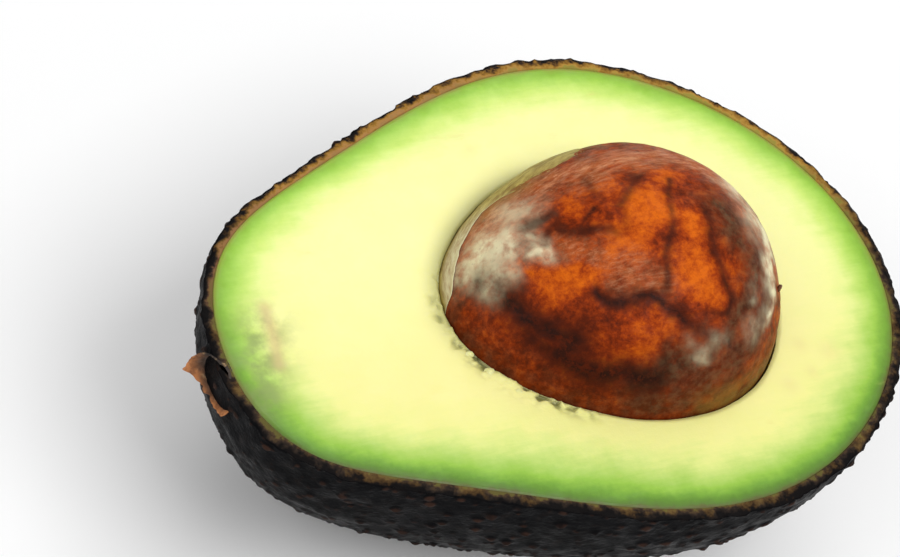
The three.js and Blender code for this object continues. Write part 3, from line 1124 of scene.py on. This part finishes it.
def make_coat(sizes, colours):
    """The papery coat: a thin band that hugs the seed from under the cut face to a torn edge. Its rings are
    closed sections, up the outer side and down the inner one, carried about the seed and shrinking to
    nothing at both ends. A few steps find the place on the egg that lies at each wanted height."""
    columns, rows = 64, 320
    places, heights = np.array(COAT_EDGE).T
    turns = np.linspace(math.radians(places[0]), math.radians(places[-1]), rows)
    torn = fractal(np.stack([turns * 17 * MM, turns * 0, turns * 0], axis=-1), 2.2 * MM, 4, 150)
    part = np.linspace(0, 1, rows)  # along the coat, from its far end to its near end
    swell = np.sin(math.pi * np.clip(part, 0.004, 0.996)) ** 0.4
    edge_height = np.interp(turns, np.radians(places), heights * MM)
    top = (edge_height + 0.3 * MM * torn) * swell - 0.5 * MM * (1 - swell)
    foot = -1.8 * MM * swell - 0.6 * MM
    loop = np.arange(columns) / columns
    up = np.where(loop < 0.5, loop * 2, 2 - loop * 2)
    side = np.where(loop < 0.5, 1.0, 0.0)
    height = foot[:, None] + (top - foot)[:, None] * up[None, :]
    height = height + CUT_HEIGHT - SEED_CENTRE[2]
    _, radius = seed_radii(sizes)
    rise = height / radius
    for _ in range(5):
        flat = np.sqrt(np.clip(1 - rise**2, 0.01, 1))
        rise = height / (radius * (1 + sizes.seed_egg * flat * np.cos(turns)[:, None]))
    way = np.stack([flat * np.cos(turns)[:, None], flat * np.sin(turns)[:, None], rise], axis=-1)
    ground, _ = seed_shape(sizes, way)
    lift = 0.02 * MM + side[None, :] * sizes.coat_thickness * np.clip((1 - up) * 5, 0.35, 1)[None, :]
    crisp = ease(0.5, 0.65, part)[:, None]
    thin = 1 - (1 - crisp) * ease(0.75, 0.97, up)[None, :] * 1.5
    curl = 0.05 * MM * crisp * ease(0.8, 1.0, up)[None, :] * (1 + torn[:, None])
    lift = lift * swell[:, None] * thin + curl
    rings = ground + way * lift[..., None]
    grid = np.swapaxes(strip_map(columns + 1, rows - 1, 0.0, 1.0), 0, 1)
    maps = ([grid], np.array([0.0, 0.5]), np.array([1.0, 0.5]))
    piece = ring_mesh("seed_coat_film", rings, rings[0].mean(axis=0), rings[-1].mean(axis=0), maps)
    below_edge = (1 - up[None, :]) * (top - foot)[:, None]
    # painted highlight, with the film's own pale colour, along the fold of the torn edge
    mark(piece, "edge", bell(below_edge, 0.3 * MM) * crisp, 0, 0)
    above_cut = up[None, :] * (top - foot)[:, None] + foot[:, None]
    pale = ease(0.5, 0.75, part)[:, None] * ease(-0.4 * MM, 1.2 * MM, above_cut)
    mark(piece, "pale", pale, 0, 0)
    piece.data.materials.append(coat_material(colours))
    settle(piece, "seed_coat")


# ---------------------------------------------------------------- loose bits


LUMP_ROWS, LUMP_COLUMNS = 26, 40
# What the flesh material reads on a crumb: pale flesh with a trace of the hollow's painted shade
CRUMB_MARKS = {"from_skin": 12, "shade_side": 0, "bruise": 0, "streak": 0, "rim": 0.18}
# Torn flesh at the hollow's edge: turn about the seed in degrees, width along the edge in millimetres
CRUMBS = ((199, 0.5), (209, 0.6), (221, 0.45))


def make_lump(name, centre, radii, salt, material, marks):
    """A small torn bit: a sphere stretched by the three radii and pushed in and out by strong noise."""
    lean = np.linspace(0, math.pi, LUMP_ROWS + 2)[1:-1]
    way = downward(lean, even_turns(LUMP_COLUMNS))
    bumpy = 1 + 0.36 * fractal(way + salt, 1.3, 4, salt)
    rings = centre + way * bumpy[..., None] * radii
    ends = (centre - np.array([0, 0, radii[2] * 0.8]), centre + np.array([0, 0, radii[2] * 0.9]))
    piece = ring_mesh(name, rings, ends[0], ends[1], tube_maps(LUMP_ROWS, LUMP_COLUMNS))
    for label, value in marks.items():
        mark(piece, label, np.full((LUMP_ROWS, LUMP_COLUMNS), float(value)), value, value)
    piece.data.materials.append(bpy.data.materials[material])
    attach(piece, "root")


def make_crumbs(sizes):
    """Crumbs of flesh along the hollow's torn edge, half sunk in it, and a fleck of bark on the seed. They
    share the materials of the flesh and of the stem button, which are made first."""
    turns = np.radians([turn for turn, _ in CRUMBS])
    way = leaning(hollow_rim_way(sizes, turns), turns)
    sunk = np.array([0, 0, 0.4 * MM])
    for k, (_, width) in enumerate(CRUMBS):
        centre = egg_points(sizes, way[k], (0.8 + 0.3 * (k % 3)) * MM) - sunk
        radii = np.array([1.2, 0.9, 0.5]) * width * MM
        make_lump(f"flesh_crumb_{k + 1}", centre, radii, 200 + k, "avocado_flesh", CRUMB_MARKS)
    lodged = seed_shape(sizes, seed_way([(141, 128)])[0])[0] + np.array([0.25, -0.1, 0.0]) * MM
    radii = np.array([0.3, 0.35, 0.6]) * MM
    make_lump("bark_fleck", lodged, radii, 231, "avocado_stem", {"torn": 0.35})


# ---------------------------------------------------------------- stem button


# Half section of the stem button, from its foot up the side, over the lip and into the dish: radius and
# rise along its axis, in millimetres
STEM_PROFILE = (
    (1.2, 0.0), (2.7, 0.2), (3.3, 0.9), (3.4, 1.4), (3.4, 1.9), (3.45, 2.3), (3.6, 2.7), (3.85, 3.1),
    (4.05, 3.5), (3.85, 3.55), (3.5, 2.9), (3.1, 2.3), (2.5, 1.9), (1.9, 1.8), (1.3, 1.75), (0.7, 1.7),
)
STEM_LIP = 8.4  # place of the lip, counted in profile points


def make_stem(colours):
    """The dried stem button: its half section is carried about an axis that leans out of the stem end.
    Noise cracks the sides and tears the lip, which flares to a flap on one side with one long corner."""
    low, high = (np.array(corner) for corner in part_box("stem"))
    centre = (low + high) / 2
    foot = np.array([high[0] + 2.3 * MM, centre[1] + 0.1 * MM, centre[2] + 1.9 * MM])
    axis = np.array([-0.96, -0.22, -0.1])
    axis = axis / np.linalg.norm(axis)
    aside = np.cross(axis, np.array([0.0, 0.0, 1.0]))
    aside = aside / np.linalg.norm(aside)
    upward = np.cross(aside, axis) * 0.78

    columns, rows = 160, 91
    profile = np.array(STEM_PROFILE) * MM
    stations = np.linspace(0, len(profile) - 1, rows)
    radius = np.interp(stations, np.arange(len(profile)), profile[:, 0])[:, None]
    rise = np.interp(stations, np.arange(len(profile)), profile[:, 1])[:, None]
    lip = bell(stations - STEM_LIP, 1.3)[:, None]
    turns = even_turns(columns)
    ring_way = np.cos(turns)[:, None] * aside + np.sin(turns)[:, None] * upward
    flap = ease(-0.35, 0.45, np.cos(turns - math.radians(292)))
    corner = bell(turns - math.radians(342), math.radians(16))
    tear = fractal(ring_way * 4 * MM, 1.6 * MM, 4, 170)
    jagged = np.clip(1 + 0.9 * tear, 0.1, 1.9)
    crack = fractal(ring_way[None] * 3.5 * MM + axis * rise[..., None] * 0.35, 1.0 * MM, 3, 180)

    wide = radius * (0.9 + 0.1 * flap) * (1 + 0.05 * crack)
    wide = wide + 0.45 * MM * lip * tear * (0.4 + 0.6 * flap)
    tall = rise * (0.62 + 0.38 * flap) + 0.14 * MM * crack
    tall = tall + MM * lip * (0.6 * flap * (jagged - 0.9) + 0.8 * corner)
    rings = foot + ring_way[None] * wide[..., None] + axis * tall[..., None]
    rings[..., 2] = np.minimum(rings[..., 2], CUT_HEIGHT - 0.1 * MM)
    piece = ring_mesh("stem_button", rings, foot, foot + axis * 1.2 * MM, tube_maps(rows, columns))
    low_side = ease(-0.5, 0.3, np.cos(turns - math.radians(285)))
    mark(piece, "torn", np.clip(1.3 * lip * jagged * flap * low_side, 0, 1), 0, 0)
    piece.data.materials.append(stem_material(colours))
    settle(piece, "stem")


# ---------------------------------------------------------------- stage


def sight_axes(azimuth, elevation, roll):
    """Right, up and back directions of a camera: back is turned by azimuth about the vertical from -Y and
    raised by elevation, and the picture is then rolled about it."""
    back = Vector((math.sin(azimuth) * math.cos(elevation), -math.cos(azimuth) * math.cos(elevation),
                   math.sin(elevation)))
    level = Vector((math.cos(azimuth), math.sin(azimuth), 0.0))
    upright = back.cross(level)
    right = level * math.cos(roll) + upright * math.sin(roll)
    return right, back.cross(right), back


def aim_camera(stage):
    """A long-lens camera at the stage's bearing, looking at a point of the cut face."""
    right, up, back = sight_axes(stage.azimuth, stage.elevation, stage.roll)
    target = Vector(FRUIT_CENTRE) + Vector((stage.aim_forward, stage.aim_aside, 0.0))
    place = target + back * stage.distance
    data = bpy.data.cameras.new("Camera")
    data.lens = 100
    data.sensor_width = 36
    data.clip_start = 0.01
    camera = bpy.data.objects.new("Camera", data)
    turned = Matrix((right, up, back)).transposed().to_4x4()
    camera.matrix_world = Matrix.Translation(place) @ turned
    bpy.context.scene.collection.objects.link(camera)
    bpy.context.scene.camera = camera


def area_light(name, azimuth, elevation, distance, width, power):
    """A square soft light that looks at the fruit from the given bearing."""
    _, _, back = sight_axes(math.radians(azimuth), math.radians(elevation), 0.0)
    data = bpy.data.lights.new(name, "AREA")
    data.size = width
    data.energy = power
    light = bpy.data.objects.new(name, data)
    light.location = Vector(FRUIT_CENTRE) + back * distance
    light.rotation_euler = back.to_track_quat("Z", "Y").to_euler()
    bpy.context.scene.collection.objects.link(light)


def make_floor():
    """A pale floor, level and slightly dished up at its far edge, well past what the camera sees."""
    columns = 96
    radii = np.array([0.02, 0.2, 0.6, 1.2, 2.0])
    turns = even_turns(columns)
    rise = np.array([0.0, 0.0, 0.0, 0.02, 0.3])
    top = np.stack([radii[:, None] * np.cos(turns), radii[:, None] * np.sin(turns),
                    np.broadcast_to(rise[:, None], (len(radii), columns))], axis=-1)
    under = top[::-1] - np.array([0.0, 0.0, 0.01])
    rings = np.concatenate([top, under])
    grid = strip_map(len(rings), columns, 0.0, 1.0)
    maps = ([grid], np.array([0.5, 0.0]), np.array([0.5, 1.0]))
    floor = ring_mesh("floor", rings, np.zeros(3), np.array([0, 0, -0.01]), maps)
    floor.data.materials.append(floor_material())


def make_stage(stage):
    """A soft white world, three large lights, the floor and the camera."""
    scene = bpy.context.scene
    scene.view_settings.view_transform = "Standard"
    world = bpy.data.worlds.new("soft_white")
    world.use_nodes = True
    world.node_tree.nodes["Background"].inputs[0].default_value = (1.0, 1.0, 1.0, 1.0)
    world.node_tree.nodes["Background"].inputs[1].default_value = 0.4
    scene.world = world
    area_light("key_light", 20, 62, 0.7, 0.45, 2.6)
    area_light("back_light", 150, 50, 0.8, 0.5, 1.7)
    area_light("left_light", -80, 40, 0.8, 0.5, 1.3)
    make_floor()
    aim_camera(stage)


# ---------------------------------------------------------------- operators and panel


class AVOCADO_OT_skin(bpy.types.Operator):
    """Build the pebbled skin with its cut rim"""

    bl_idname = "avocado.skin"
    bl_label = "Skin"

    def execute(self, context):
        make_skin(context.scene.avocado_sizes, context.scene.avocado_colours)
        return {"FINISHED"}


class AVOCADO_OT_flesh(bpy.types.Operator):
    """Build the flesh with its hollow"""

    bl_idname = "avocado.flesh"
    bl_label = "Flesh"

    def execute(self, context):
        make_flesh(context.scene.avocado_sizes, context.scene.avocado_colours)
        return {"FINISHED"}


class AVOCADO_OT_seed(bpy.types.Operator):
    """Build the mottled seed"""

    bl_idname = "avocado.seed"
    bl_label = "Seed"

    def execute(self, context):
        make_seed(context.scene.avocado_sizes, context.scene.avocado_colours)
        return {"FINISHED"}


class AVOCADO_OT_coat(bpy.types.Operator):
    """Build the torn papery seed coat"""

    bl_idname = "avocado.coat"
    bl_label = "Seed coat"

    def execute(self, context):
        make_coat(context.scene.avocado_sizes, context.scene.avocado_colours)
        return {"FINISHED"}


class AVOCADO_OT_stem(bpy.types.Operator):
    """Build the dried stem button"""

    bl_idname = "avocado.stem"
    bl_label = "Stem button"

    def execute(self, context):
        make_stem(context.scene.avocado_colours)
        return {"FINISHED"}


class AVOCADO_OT_crumbs(bpy.types.Operator):
    """Build the torn bits of flesh at the hollow and the fleck on the seed"""

    bl_idname = "avocado.crumbs"
    bl_label = "Loose bits"

    def execute(self, context):
        make_crumbs(context.scene.avocado_sizes)
        return {"FINISHED"}


class AVOCADO_OT_stage(bpy.types.Operator):
    """Set up the floor, lights and camera"""

    bl_idname = "avocado.stage"
    bl_label = "Stage"

    def execute(self, context):
        make_stage(context.scene.avocado_stage)
        return {"FINISHED"}


OPERATORS = (AVOCADO_OT_skin, AVOCADO_OT_flesh, AVOCADO_OT_seed, AVOCADO_OT_coat, AVOCADO_OT_stem,
             AVOCADO_OT_crumbs, AVOCADO_OT_stage)


class AVOCADO_PT_panel(bpy.types.Panel):
    """Sizes, colours and build steps of the avocado half"""

    bl_label = "Avocado half"
    bl_idname = "AVOCADO_PT_panel"
    bl_space_type = "VIEW_3D"
    bl_region_type = "UI"
    bl_category = "Avocado"

    def draw(self, context):
        scene = context.scene
        for settings in (scene.avocado_sizes, scene.avocado_colours, scene.avocado_stage):
            for name in settings.__annotations__:
                self.layout.prop(settings, name)
        for operator in OPERATORS:
            self.layout.operator(operator.bl_idname)


SETTINGS = {"avocado_sizes": AvocadoSizes, "avocado_colours": AvocadoColours, "avocado_stage": AvocadoStage}


def register():
    for name, settings in SETTINGS.items():
        bpy.utils.register_class(settings)
        setattr(bpy.types.Scene, name, PointerProperty(type=settings))
    for operator in OPERATORS:
        bpy.utils.register_class(operator)
    bpy.utils.register_class(AVOCADO_PT_panel)


def unregister():
    bpy.utils.unregister_class(AVOCADO_PT_panel)
    for operator in reversed(OPERATORS):
        bpy.utils.unregister_class(operator)
    for name, settings in reversed(SETTINGS.items()):
        delattr(bpy.types.Scene, name)
        bpy.utils.unregister_class(settings)


def main():
    register()
    for step in ("skin", "flesh", "seed", "coat", "stem", "crumbs", "stage"):
        getattr(bpy.ops.avocado, step)()


if __name__ == "__main__":
    main()
